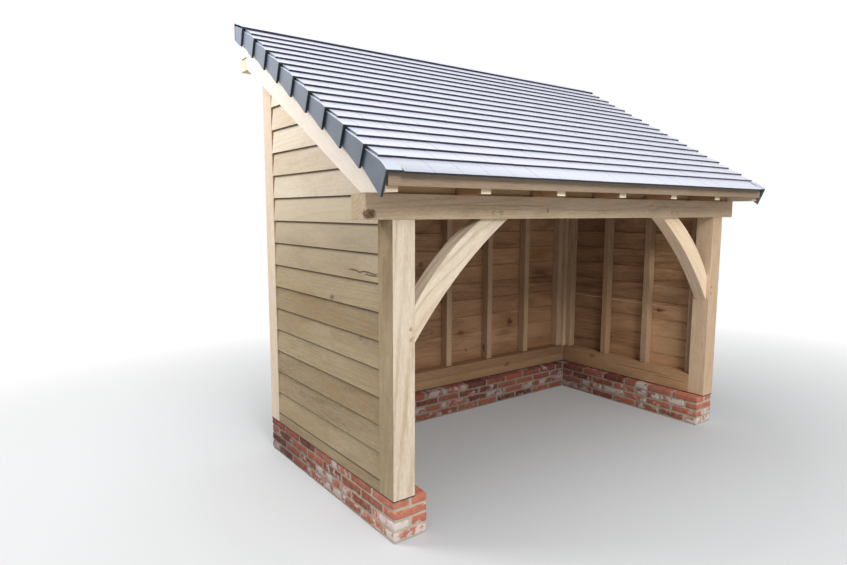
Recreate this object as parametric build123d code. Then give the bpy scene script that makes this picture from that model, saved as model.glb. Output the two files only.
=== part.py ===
from build123d import *
import math
import os

# Open-fronted lean-to bike shelter, millimetres.
# +X right seen from the open front, +Y towards the back wall, +Z up.
# While it is built, Y = 0 is the front face of the front posts and Z = 0 the ground.

# main sizes
WIDTH = 3040.0            # over the outer faces of the posts
DEPTH = 1547.0            # front face of front posts to rear face of rear posts
POST = 130.0              # square posts
PITCH = 30.0              # roof slope, degrees

# brick plinth
PLINTH_H = 226.0
PLINTH_T = 209.0

# sill on the plinth, with a rail on it at the back
SILL_H = 70.0             # below the cladding
RAIL_H = 75.0             # behind the cladding
RAIL_SETBACK = 3.0

# front beam
BEAM_BOTTOM = 1620.0
BEAM_H = 122.0
BEAM_OVERHANG = 146.0

# rear beam
REAR_BEAM_H = 75.0
REAR_OVERHANG = 140.0

# rafters
RAFTER_W = 65.0
RAFTER_D = 140.0
RAFTER_COUNT = 7
RAFTER_SEAT = 33.0        # level bearing behind the front face of the front beam
TAIL_OUT = 174.0          # tail end in front of the front posts
VERGE_OUT = 150.0         # verge rafter face outside the posts
ROOF_END_IN = 27.0        # rear ends in front of the rear posts' rear face

# roof build-up, measured square to the slope
DECK_T = 18.0
BATTEN_T = 25.0
BATTEN_W = 38.0
BATTEN_UP = 64.0          # lower edge up the slope from its course's tail

# fascia and blocking
FASCIA_T = 22.0
FASCIA_UP = 25.0          # lower edge above the front beam
BLOCK_T = 25.0
BLOCK_Y = 20.0
REAR_BLOCK_IN = 5.0       # rear blocking in front of the rafter ends

# tiles
TILE_T = 13.0
TILE_LAYERS = 3.0         # thickness of the lapped field at a tail, in tiles
MAX_GAUGE = 104.0
EAVES_OUT = 236.0         # lowest tail in front of the front posts
EAVES_DROP = 11.3         # lowest tail under the line of the others
EAVES_EXTRA = 23.0        # extra length shown by the lowest course
RIDGE_IN = 154.0          # last tail line in front of the rear posts' rear face
HEAD_LAP = 18.0           # field carried up under the ridge piece
VERGE_TILE_OUT = 178.0    # outer face of the verge flaps outside the posts
VERGE_LEG = 86.0          # width of a verge tile on the roof
VERGE_GAP = 1.0           # between lapped flaps
VERGE_REAR_T = 9.0
VERGE_LAP = 10.0
END_TILE_IN = 22.0        # ends of every second course inside the verge flaps
FLAP_LOW_FRONT = 106.0    # bare depth of the verge rafter under a flap's tail
FLAP_LOW_REAR = 119.0
FLAP_LOW_EAVES = 84.0
EAVES_TILE_UP = 13.0      # lowest verge tail up the slope from the field's
DROOP = 18.0              # the lowest verge tiles curve down to their tails
DROOP_LENGTH = 88.0
DROOP_STEPS = 5

# ridge piece
RIDGE_LAP = 7.0           # front edge behind the last tail line
RIDGE_PITCH = 20.0
RIDGE_GAP = 2.0           # rear leg behind the roof boards
RIDGE_LEG = 104.0
TOP_BATTEN_IN = 7.0       # rear face in front of the roof boards' rear edge
TOP_BATTEN_W = 45.0

# wall framing and cladding
STUD_W = 53.0
STUD_D = 70.0
BACK_STUDS = 7
SIDE_STUDS = 4
CLAD_T = 25.0
CLAD_STEP = 12.0
MAX_BOARD = 146.0         # largest height that a board shows
GABLE_GAP = 1.0           # gable boards above the front beam

# curved braces in the corners of front posts and front beam
BRACE_T = 90.0
BRACE_Y = 24.0
FOOT_LOW = 635.0          # foot on the post, below the beam
FOOT_HIGH = 450.0
HEAD_FAR = 643.0          # head on the beam, from the post
HEAD_NEAR = 450.0
BULGE_LOW = 40.0          # rise of each curved edge over its chord
BULGE_HIGH = 34.0

# clearances
SEAT = 0.2                # sloping seats
SIDE_GAP = 0.1            # side of the tile field to the verge tiles

# positions that follow from the sizes
HALF = WIDTH / 2.0
INNER = HALF - POST
REAR_Y = DEPTH - POST
BEAM_TOP = BEAM_BOTTOM + BEAM_H
SILL_TOP = PLINTH_H + SILL_H
GABLE_Z = BEAM_TOP + GABLE_GAP
SIDE_ROWS = math.ceil((GABLE_Z - SILL_TOP) / MAX_BOARD)
BOARD = (GABLE_Z - SILL_TOP) / SIDE_ROWS
RAIL_TOP = SILL_TOP + RAIL_H
COS = math.cos(math.radians(PITCH))
SIN = math.sin(math.radians(PITCH))
TAN = SIN / COS
UNDER_Z = BEAM_TOP - RAFTER_SEAT * TAN
DECK_N = RAFTER_D + DECK_T
BATTEN_N = DECK_N + BATTEN_T
TILE_TOP = BATTEN_N + TILE_LAYERS * TILE_T
EAVES_TOP = TILE_TOP - EAVES_DROP
ROOF_X = HALF + VERGE_OUT
FLAP_X = HALF + VERGE_TILE_OUT
LEG_X = FLAP_X - VERGE_LEG
END_X = FLAP_X - END_TILE_IN
ROOF_END = DEPTH - ROOF_END_IN
RIDGE_Y = ROOF_END + RIDGE_GAP + TILE_T
SHIFT_Y = (DEPTH - EAVES_OUT) / 2.0

# slope positions of the tile tails, an even number of courses
EAVES_TAIL = (-EAVES_OUT + EAVES_TOP * SIN) / COS
FIRST_TAIL = EAVES_TAIL + EAVES_EXTRA
LAST_TAIL = (DEPTH - RIDGE_IN + TILE_TOP * SIN) / COS
COURSES = 2 * math.ceil((LAST_TAIL - FIRST_TAIL) / (2 * MAX_GAUGE))
GAUGE = (LAST_TAIL - FIRST_TAIL) / COURSES
LEAN = TILE_T / GAUGE
LEAN_COS = math.cos(math.atan(LEAN))


def under(y):
    """Height of the rafter underside line at y."""
    return UNDER_Z + y * TAN


def level(y, n):
    """Height at y of the plane n above the rafter underside."""
    return under(y) + n / COS


def roof_point(s, n):
    """(y, z) of a point s up the slope and n square to it."""
    return (s * COS - n * SIN, UNDER_Z + s * SIN + n * COS)


def tail(j):
    """Slope position of the tails of course j."""
    return FIRST_TAIL + j * GAUGE


def tile_top(j, s):
    """Upper plane, square to the slope, of a tile of course j."""
    return TILE_TOP - LEAN * (s - tail(j))


def block(x0, x1, y0, y1, z0, z1):
    return Pos((x0 + x1) / 2, (y0 + y1) / 2, (z0 + z1) / 2) * Box(x1 - x0, y1 - y0, z1 - z0)


def side_prism(points, x0, x1):
    """Outline in (y, z) carried from x0 to x1."""
    face = Plane.YZ * Polygon(*points, align=None)
    return Pos(x0, 0, 0) * extrude(face, amount=x1 - x0, dir=(1, 0, 0))


def front_prism(points, y0, y1):
    """Outline in (x, z) carried from y0 to y1."""
    face = Plane.XZ * Polygon(*points, align=None)
    return Pos(0, y0, 0) * extrude(face, amount=y1 - y0, dir=(0, 1, 0))


def mirrored(shape):
    return mirror(shape, about=Plane.YZ)


def save(shapes, name):
    solids = [s for shape in shapes for s in shape.solids()]
    body = Compound(children=[Pos(0, -SHIFT_Y, 0) * s for s in solids])
    if len(solids) == 1:
        body = Pos(0, -SHIFT_Y, 0) * solids[0]
    export_step(body, "parts/" + name + ".step")


def save_pair(shapes, name):
    save(shapes, name + "_left")
    save([mirrored(shape) for shape in shapes], name + "_right")


def rafter(x0, front_y):
    """Rafter notched over the rear beam, with a level seat where it crosses the front beam."""
    seat_z = under(REAR_Y) + REAR_BEAM_H
    points = [(front_y, under(front_y))]
    if front_y < RAFTER_SEAT:
        points = [(front_y, BEAM_TOP), (RAFTER_SEAT, BEAM_TOP)]
    points = points + [
        (REAR_Y, under(REAR_Y)),
        (REAR_Y, seat_z),
        (ROOF_END, seat_z),
        (ROOF_END, level(ROOF_END, RAFTER_D)),
        (front_y, level(front_y, RAFTER_D)),
    ]
    return side_prism(points, x0, x0 + RAFTER_W)


def boards(z0, count):
    """Lapped board section, outer face at 0, back face at CLAD_T."""
    points = [(CLAD_T, z0)]
    for i in range(count):
        points.append((0.0, z0 + i * BOARD))
        points.append((CLAD_STEP, z0 + (i + 1) * BOARD))
    points.append((CLAD_T, z0 + count * BOARD))
    return points


def verge_section(s, top, low, out, flap_t):
    """Section of a verge tile, square to the leaning tile: leg on the roof and hanging flap."""
    y, z = roof_point(s, top)
    along = math.radians(PITCH) - math.atan(LEAN)
    plane = Plane(origin=(0, y, z), x_dir=(1, 0, 0), z_dir=(0, -math.cos(along), -math.sin(along)))
    edge = -LEG_X - SIDE_GAP
    under_leg = -TILE_T * LEAN_COS
    foot = (low - top) / LEAN_COS
    points = [
        (out, foot),
        (out, 0.0),
        (edge, 0.0),
        (edge, under_leg),
        (out + flap_t, under_leg),
        (out + flap_t, foot),
    ]
    return plane * Polygon(*points, align=None)


def verge_tile(j, stations, droop, front_low):
    """Left verge tile over courses j and j + 1, outer face drawn in towards its head."""
    front = stations[0]
    length = stations[-1] - front
    taper = (TILE_T + VERGE_GAP) * length / (tail(j + 2) - front)
    sections = []
    for s, drop in zip(stations, droop):
        part = (s - front) / length
        low = front_low + (FLAP_LOW_REAR - front_low) * part
        flap_t = TILE_T + (VERGE_REAR_T - TILE_T) * part
        sections.append(verge_section(s, tile_top(j, s) - drop, low, -FLAP_X + taper * part, flap_t))
    return loft(sections, ruled=True)


os.makedirs("parts", exist_ok=True)

# plinth
save_pair([block(-HALF, -HALF + PLINTH_T, 0, DEPTH, 0, PLINTH_H)], "plinth")
save([block(-HALF + PLINTH_T, HALF - PLINTH_T, DEPTH - PLINTH_T, DEPTH, 0, PLINTH_H)], "plinth_back")

# sills, the side ones rebated for the cladding, and the back rail
side_sill = [
    (-HALF, PLINTH_H),
    (-INNER, PLINTH_H),
    (-INNER, RAIL_TOP),
    (-HALF + CLAD_T, RAIL_TOP),
    (-HALF + CLAD_T, SILL_TOP),
    (-HALF, SILL_TOP),
]
save_pair([front_prism(side_sill, POST, REAR_Y)], "sill")
save([block(-INNER, INNER, REAR_Y, DEPTH, PLINTH_H, SILL_TOP)], "sill_back")
save([block(-INNER, INNER, REAR_Y + RAIL_SETBACK, DEPTH - CLAD_T, SILL_TOP, RAIL_TOP)], "rail_back")

# posts and beams
save_pair([block(-HALF, -INNER, 0, POST, PLINTH_H, BEAM_BOTTOM)], "front_post")
save_pair([block(-HALF, -INNER, REAR_Y, DEPTH, PLINTH_H, under(REAR_Y))], "back_post")
beam_x = HALF + BEAM_OVERHANG
save([block(-beam_x, beam_x, 0, POST, BEAM_BOTTOM, BEAM_TOP)], "front_beam")
rear_x = HALF + REAR_OVERHANG
rear_beam_top = under(REAR_Y) + REAR_BEAM_H
save([block(-rear_x, rear_x, REAR_Y, DEPTH, under(REAR_Y), rear_beam_top)], "rear_beam")

# curved braces
foot_low = (-INNER, BEAM_BOTTOM - FOOT_LOW)
foot_high = (-INNER, BEAM_BOTTOM - FOOT_HIGH)
head_far = (-INNER + HEAD_FAR, BEAM_BOTTOM)
head_near = (-INNER + HEAD_NEAR, BEAM_BOTTOM)
brace_edges = [
    Line(foot_low, foot_high),
    SagittaArc(foot_high, head_near, BULGE_HIGH),
    Line(head_near, head_far),
    SagittaArc(head_far, foot_low, -BULGE_LOW),
]
brace_face = Plane.XZ * make_face(brace_edges)
save_pair([Pos(0, BRACE_Y, 0) * extrude(brace_face, amount=BRACE_T, dir=(0, 1, 0))], "brace")

# studs
back_spacing = (2 * INNER - STUD_W) / (BACK_STUDS - 1)
back_studs = []
for i in range(BACK_STUDS):
    x = -INNER + i * back_spacing
    y1 = DEPTH - CLAD_T
    back_studs.append(block(x, x + STUD_W, y1 - STUD_D, y1, RAIL_TOP, under(REAR_Y)))
save(back_studs, "studs_back")
side_spacing = (REAR_Y - POST - STUD_W) / (SIDE_STUDS - 1)
side_studs = []
for i in range(SIDE_STUDS):
    y = POST + i * side_spacing
    points = [
        (y, RAIL_TOP),
        (y + STUD_W, RAIL_TOP),
        (y + STUD_W, under(y + STUD_W) - SEAT),
        (y, under(y) - SEAT),
    ]
    side_studs.append(side_prism(points, -HALF + CLAD_T, -HALF + CLAD_T + STUD_D))
save_pair(side_studs, "studs")

# cladding
section = [(-HALF + x, z) for x, z in boards(SILL_TOP, SIDE_ROWS)]
save_pair([front_prism(section, POST, REAR_Y)], "cladding")
gable_y = BLOCK_Y + BLOCK_T
gable_rows = math.ceil((level(ROOF_END, RAFTER_D) - GABLE_Z) / BOARD)
gable_section = [(-HALF + x, z) for x, z in boards(GABLE_Z, gable_rows)]
gable_outline = [
    (gable_y, GABLE_Z),
    (REAR_Y, GABLE_Z),
    (REAR_Y, rear_beam_top),
    (ROOF_END, rear_beam_top),
    (ROOF_END, level(ROOF_END, RAFTER_D)),
    (gable_y, level(gable_y, RAFTER_D)),
]
gable = front_prism(gable_section, gable_y, ROOF_END) & side_prism(gable_outline, -HALF, -HALF + CLAD_T)
save_pair([gable], "gable")
back_rows = math.ceil((under(REAR_Y) - SILL_TOP) / BOARD)
back_section = [(DEPTH - x, z) for x, z in boards(SILL_TOP, back_rows)]
back_boards = side_prism(back_section, -INNER, INNER)
back_limit = block(-INNER, INNER, DEPTH - CLAD_T, DEPTH, SILL_TOP, under(REAR_Y))
save([back_boards & back_limit], "cladding_back")

# rafters
rafter_spacing = (2 * ROOF_X - RAFTER_W) / (RAFTER_COUNT - 1)
save_pair([rafter(-ROOF_X, -TAIL_OUT)], "verge_rafter")
common = []
for i in range(1, RAFTER_COUNT - 1):
    common.append(rafter(-ROOF_X + i * rafter_spacing, -TAIL_OUT))
save(common, "common_rafters")
save_pair([rafter(-HALF + CLAD_T, gable_y)], "wall_rafter")

# blocking between the rafters on the front beam
block_outline = [
    (BLOCK_Y, BEAM_TOP),
    (gable_y, BEAM_TOP),
    (gable_y, level(gable_y, RAFTER_D)),
    (BLOCK_Y, level(BLOCK_Y, RAFTER_D)),
]
blocking = []
for i in range(RAFTER_COUNT - 1):
    x0 = -ROOF_X + i * rafter_spacing + RAFTER_W
    blocking.append(side_prism(block_outline, x0, x0 + rafter_spacing - RAFTER_W))
save(blocking, "blocking")

# blocking between the rafters on the rear beam
rear_block_y = ROOF_END - REAR_BLOCK_IN
rear_outline = [
    (rear_block_y - BLOCK_T, rear_beam_top),
    (rear_block_y, rear_beam_top),
    (rear_block_y, level(rear_block_y, RAFTER_D)),
    (rear_block_y - BLOCK_T, level(rear_block_y - BLOCK_T, RAFTER_D)),
]
first_common = -ROOF_X + rafter_spacing
wall_inner = -HALF + CLAD_T + RAFTER_W
rear_blocking = []
for x0, x1 in ((-ROOF_X + RAFTER_W, -HALF), (wall_inner, first_common)):
    piece = side_prism(rear_outline, x0, x1)
    rear_blocking = rear_blocking + [piece, mirrored(piece)]
for i in range(1, RAFTER_COUNT - 2):
    x0 = -ROOF_X + i * rafter_spacing + RAFTER_W
    rear_blocking.append(side_prism(rear_outline, x0, x0 + rafter_spacing - RAFTER_W))
save(rear_blocking, "blocking_back")

# fascia
fascia_n = EAVES_TOP - TILE_T
fascia_outline = [
    (-TAIL_OUT - FASCIA_T, BEAM_TOP + FASCIA_UP),
    (-TAIL_OUT, BEAM_TOP + FASCIA_UP),
    (-TAIL_OUT, level(-TAIL_OUT, fascia_n) - SEAT),
    (-TAIL_OUT - FASCIA_T, level(-TAIL_OUT - FASCIA_T, fascia_n) - SEAT),
]
save([side_prism(fascia_outline, -ROOF_X, ROOF_X)], "fascia")

# deck
deck_outline = [
    (-TAIL_OUT, level(-TAIL_OUT, RAFTER_D)),
    (ROOF_END, level(ROOF_END, RAFTER_D)),
    (ROOF_END, level(ROOF_END, DECK_N)),
    (-TAIL_OUT, level(-TAIL_OUT, DECK_N)),
]
save([side_prism(deck_outline, -ROOF_X, ROOF_X)], "roof_deck")

# battens
battens = []
for i in range(COURSES):
    s = tail(i) + BATTEN_UP
    corners = [(s, DECK_N), (s + BATTEN_W, DECK_N), (s + BATTEN_W, BATTEN_N), (s, BATTEN_N)]
    battens.append(side_prism([roof_point(a, b) for a, b in corners], -ROOF_X, ROOF_X))
save(battens, "battens")

# tile field, stepped at every course
field = [(EAVES_TAIL, EAVES_TOP - TILE_T), (EAVES_TAIL, EAVES_TOP)]
for j in range(1, COURSES):
    field.append((tail(j), TILE_TOP - TILE_T))
    field.append((tail(j), TILE_TOP))
field_end = LAST_TAIL + HEAD_LAP
end_top = tile_top(COURSES - 1, field_end)
field.append((field_end, end_top))
field.append((field_end, BATTEN_N))
step_s = (-TAIL_OUT + BATTEN_N * SIN) / COS
field.append((step_s, BATTEN_N))
field.append(((-TAIL_OUT + fascia_n * SIN) / COS, fascia_n))
tile_field = side_prism([roof_point(a, b) for a, b in field], -LEG_X, LEG_X)

# end tiles of every second course, lapped between the verge tiles
for j in range(1, COURSES, 2):
    s0 = tail(j)
    s1 = min(s0 + 2 * GAUGE, field_end)
    corners = [
        (s0, tile_top(j, s0) - TILE_T + SEAT),
        (s0, tile_top(j, s0) - SEAT),
        (s1, tile_top(j, s1) - SEAT),
        (s1, tile_top(j, s1) - TILE_T + SEAT),
    ]
    end_tile = side_prism([roof_point(a, b) for a, b in corners], -END_X, -LEG_X)
    tile_field = tile_field + end_tile + mirrored(end_tile)
save([tile_field], "tile_field")

# verge tiles, one for every second course
verge_tiles = []
for j in range(0, COURSES, 2):
    head = tail(j + 2) + VERGE_LAP
    if j == 0:
        front = EAVES_TAIL + EAVES_TILE_UP
        stations = []
        droop = []
        for i in range(DROOP_STEPS):
            rest = 1.0 - i / (DROOP_STEPS - 1)
            stations.append(front + DROOP_LENGTH * (1.0 - rest))
            droop.append(DROOP * rest * rest)
        verge_tiles.append(verge_tile(j, stations + [head], droop + [0.0], FLAP_LOW_EAVES))
    else:
        verge_tiles.append(verge_tile(j, [tail(j), head], [0.0, 0.0], FLAP_LOW_FRONT))
save_pair(verge_tiles, "verge_tiles")

# ridge piece with closed ends, and the batten that carries it
fall = math.tan(math.radians(RIDGE_PITCH))
drop = TILE_T / math.cos(math.radians(RIDGE_PITCH))
seat_y, seat_z = roof_point(field_end, end_top)
ridge_front_y = DEPTH - RIDGE_IN + RIDGE_LAP
ridge_front_z = seat_z + SEAT + drop - fall * (seat_y - ridge_front_y)
ridge_top_z = ridge_front_z + fall * (RIDGE_Y - ridge_front_y)
inner_y = RIDGE_Y - TILE_T
leg_z = ridge_top_z - RIDGE_LEG
ridge_outline = [
    (ridge_front_y, ridge_front_z),
    (RIDGE_Y, ridge_top_z),
    (RIDGE_Y, leg_z),
    (inner_y, leg_z),
    (inner_y, ridge_top_z - drop - TILE_T * fall),
    (ridge_front_y + TILE_T * fall, ridge_front_z - drop + TILE_T * fall * fall),
]
low_y, low_z = roof_point(LAST_TAIL - (TILE_TOP - FLAP_LOW_FRONT) * LEAN, FLAP_LOW_FRONT)
end_outline = [
    (ridge_front_y, ridge_front_z),
    (RIDGE_Y, ridge_top_z),
    (RIDGE_Y, low_z + (RIDGE_Y - low_y) * TAN),
    (low_y, low_z),
]
ridge = side_prism(ridge_outline, -FLAP_X, FLAP_X)
ridge = ridge + side_prism(end_outline, -FLAP_X, -FLAP_X + TILE_T)
ridge = ridge + side_prism(end_outline, FLAP_X - TILE_T, FLAP_X)
save([ridge], "ridge")
cap_z = ridge_top_z - drop
batten_rear = ROOF_END - TOP_BATTEN_IN
batten_front = batten_rear - TOP_BATTEN_W
top_batten = [
    (batten_front, level(batten_front, DECK_N)),
    (batten_rear, level(batten_rear, DECK_N)),
    (batten_rear, cap_z - (RIDGE_Y - batten_rear) * fall - SEAT),
    (batten_front, cap_z - (RIDGE_Y - batten_front) * fall - SEAT),
]
save([side_prism(top_batten, -ROOF_X, ROOF_X)], "top_batten")
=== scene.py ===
import math
import random

import bmesh
import bpy
import numpy as np
from mathutils import Matrix, Vector, noise


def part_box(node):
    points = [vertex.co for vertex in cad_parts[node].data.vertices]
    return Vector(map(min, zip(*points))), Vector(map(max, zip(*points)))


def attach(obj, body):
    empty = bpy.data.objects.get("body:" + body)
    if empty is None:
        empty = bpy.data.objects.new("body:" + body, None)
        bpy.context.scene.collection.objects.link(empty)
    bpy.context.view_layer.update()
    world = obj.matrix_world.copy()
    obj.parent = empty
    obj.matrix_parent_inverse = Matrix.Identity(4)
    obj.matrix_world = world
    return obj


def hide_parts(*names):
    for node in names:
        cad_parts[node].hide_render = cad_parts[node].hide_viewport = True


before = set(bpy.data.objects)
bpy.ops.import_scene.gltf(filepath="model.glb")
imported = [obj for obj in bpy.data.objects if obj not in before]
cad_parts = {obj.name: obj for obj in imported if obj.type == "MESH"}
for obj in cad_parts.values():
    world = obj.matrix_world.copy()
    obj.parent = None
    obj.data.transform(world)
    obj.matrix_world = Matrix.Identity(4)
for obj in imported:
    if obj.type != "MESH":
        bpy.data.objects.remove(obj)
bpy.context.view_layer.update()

scene = bpy.context.scene

# Blender's noise differs from run to run unless it is given a seed.
noise.seed_set(7)

# The building's own frame: x from the middle, y from the front face of the front posts, z from the ground.
corner, far_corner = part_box("front_post_left")
FRONT = corner.y
LEFT = corner.x
HALF = -LEFT
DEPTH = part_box("rear_beam")[1].y - FRONT
POST = far_corner.x - LEFT
INNER = HALF - POST
REAR_Y = DEPTH - POST
PLINTH_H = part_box("plinth_left")[1].z
PLINTH_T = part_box("plinth_left")[1].x - LEFT
SILL_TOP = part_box("sill_back")[1].z
RAIL_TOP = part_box("rail_back")[1].z
BEAM_Z, BEAM_TOP = (corner.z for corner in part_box("front_beam"))
REAR_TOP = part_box("rear_beam")[1].z
ROOF_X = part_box("verge_rafter_right")[1].x
ROOF_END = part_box("common_rafters")[1].y - FRONT

# Roof slope. The rafters bear on the front beam back to y = BEARING, where their underside starts to rise.
COS, SIN = math.cos(math.radians(30)), math.sin(math.radians(30))
TAN = SIN / COS
BEARING = 0.033
UNDER = BEAM_TOP - BEARING * TAN
RAFTER_W, RAFTER_D, TAIL = 0.065, 0.140, 0.174
SPACING = (2 * ROOF_X - RAFTER_W) / 6
BLOCK_FRONT, BLOCK_BACK = 0.020, 0.045
SEAT_GAP = 0.0002

# Heights square to the slope over the rafters' underside: roof boards, battens, tails of the tiles.
DECK_N, BATTEN_N, TOP = 0.158, 0.183, 0.222

# Tile courses: the first tail and the distance to the next ones, up the slope. The eaves course is its own.
TILE_T = 0.013
COURSES = 18
GAUGE, FIRST = 0.1035850, -0.1278607
LEAN = TILE_T / GAUGE
EAVES_S, EAVES_N, EAVES_LEAN = -0.150861, 0.2107, 0.0135

# Feather-edge boards: depth of the wall's boarding, and height of a row.
CLAD_T = 0.025
SIDE_ROWS = 10
BOARD = (BEAM_TOP + 0.001 - SILL_TOP) / SIDE_ROWS


def under(y):
    return UNDER + y * TAN


def level(y, n):
    return under(y) + n / COS


def roof_point(s, n):
    """Building (y, z) of a point s up the slope and n square to it."""
    return s * COS - n * SIN, UNDER + s * SIN + n * COS


def tail(j):
    return FIRST + j * GAUGE


class Mesh:
    """Collects solids in building coordinates, with a grain coordinate and a tone for every vertex."""

    def __init__(self, name):
        self.name = name
        self.co, self.faces, self.grain, self.tone, self.smooth, self.index = [], [], [], [], [], []

    def take(self, bm, grain_of, tone, smooth=False, pick=None):
        """Moves a bmesh into the piece. pick gives a face's material from its normal."""
        bm.normal_update()
        bm.verts.index_update()
        base = len(self.co)
        for v in bm.verts:
            p = tuple(v.co)
            self.co.append(p)
            self.grain.append(grain_of(p))
            self.tone.append(tone)
        for f in bm.faces:
            self.faces.append([base + v.index for v in f.verts])
            self.smooth.append(smooth)
            self.index.append(pick(f.normal) if pick else 0)
        bm.free()

    def build(self, materials, slot, *replaced):
        data = bpy.data.meshes.new(self.name)
        data.from_pydata([(x, y + FRONT, z) for x, y, z in self.co], [], self.faces)
        data.update()
        attr = data.attributes.new("grain", "FLOAT_VECTOR", "POINT")
        attr.data.foreach_set("vector", np.array(self.grain, np.float32).ravel())
        attr = data.attributes.new("tone", "FLOAT", "POINT")
        attr.data.foreach_set("value", np.array(self.tone, np.float32))
        data.polygons.foreach_set("use_smooth", self.smooth)
        for mat in materials:
            data.materials.append(mat)
        data.polygons.foreach_set("material_index", self.index)
        obj = bpy.data.objects.new(self.name, data)
        scene.collection.objects.link(obj)
        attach(obj, "root")
        if replaced:
            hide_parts(*replaced)
        return obj


def loft(rings, bevel, angle, segments=2):
    """Closed solid through rings of as many points each, with its sharp edges eased."""
    bm = bmesh.new()
    loops = [[bm.verts.new(p) for p in ring] for ring in rings]
    bm.faces.new(loops[0])
    bm.faces.new(loops[-1][::-1])
    n = len(loops[0])
    for a, b in zip(loops, loops[1:]):
        for i in range(n):
            j = (i + 1) % n
            bm.faces.new((a[j], a[i], b[i], b[j]))
    bmesh.ops.recalc_face_normals(bm, faces=bm.faces[:])
    sharp = [e for e in bm.edges if e.calc_face_angle(0) > math.radians(angle)]
    bmesh.ops.bevel(bm, geom=sharp, offset=bevel, segments=segments, profile=0.6, affect="EDGES",
                    clamp_overlap=True)
    return bm


def prism(mesh, outline, axis, a, b, bevel, grain_of, tone, pick=None):
    """Outline carried along axis 'x' (points are y, z) or 'y' (points are x, z)."""
    def at(p, t):
        return (t, p[0], p[1]) if axis == "x" else (p[0], t, p[1])

    bm = loft([[at(p, a) for p in outline], [at(p, b) for p in outline]], bevel, 20)
    mesh.take(bm, grain_of, tone, pick=pick)


def grain_along(axis, seed, pith=(0.0, 0.0)):
    """Coordinate along the grain and the two across it, starting from the heart of the timber's own tree."""
    rnd = random.Random(seed)
    du = rnd.uniform(0, 40)
    dv = pith[0] + rnd.uniform(-0.04, 0.04)
    dw = pith[1] + rnd.uniform(-0.04, 0.04)

    def f(p):
        x, y, z = p
        s, n = y * COS + (z - UNDER) * SIN, (z - UNDER) * COS - y * SIN
        a, b, c = {"x": (x, y, z), "y": (y, z, x), "z": (z, x, y), "s": (s, n, x)}[axis]
        return a + du, b + dv, c + dw
    return f


def timber(mesh, box, axis, seed, bevel=0.003, pick=None):
    """Square-sawn timber between two corners, with its grain along x or z."""
    (x0, y0, z0), (x1, y1, z1) = box
    rnd = random.Random(seed + 7)
    mid_x, mid_y, mid_z = (x0 + x1) / 2, (y0 + y1) / 2, (z0 + z1) / 2
    cross = (mid_y, mid_z) if axis == "x" else (mid_x, mid_y)
    pith = (rnd.uniform(0.05, 0.11) * rnd.choice((-1, 1)), rnd.uniform(0.05, 0.14) * rnd.choice((-1, 1)))
    grain = grain_along(axis, seed, (pith[0] - cross[0], pith[1] - cross[1]))
    prism(mesh, [(y0, z0), (y1, z0), (y1, z1), (y0, z1)], "x", x0, x1, bevel, grain, rnd.random(), pick)


def node_box(node):
    lo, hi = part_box(node)
    return (lo.x, lo.y - FRONT, lo.z), (hi.x, hi.y - FRONT, hi.z)


def srgb(r, g, b):
    return tuple(((c / 255 + 0.055) / 1.055) ** 2.4 if c > 10 else c / 255 / 12.92 for c in (r, g, b))


def material(name):
    mat = bpy.data.materials.new(name)
    mat.use_nodes = True
    nt = mat.node_tree
    return mat, Graph(nt), nt.nodes["Principled BSDF"]


def surface(g, bsdf, colour, rough, specular=0.5):
    """Sets what the light meets: colour and roughness are values or sockets."""
    g.put(bsdf.inputs["Base Color"], colour)
    g.put(bsdf.inputs["Roughness"], rough)
    bsdf.inputs["Specular IOR Level"].default_value = specular


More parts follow.
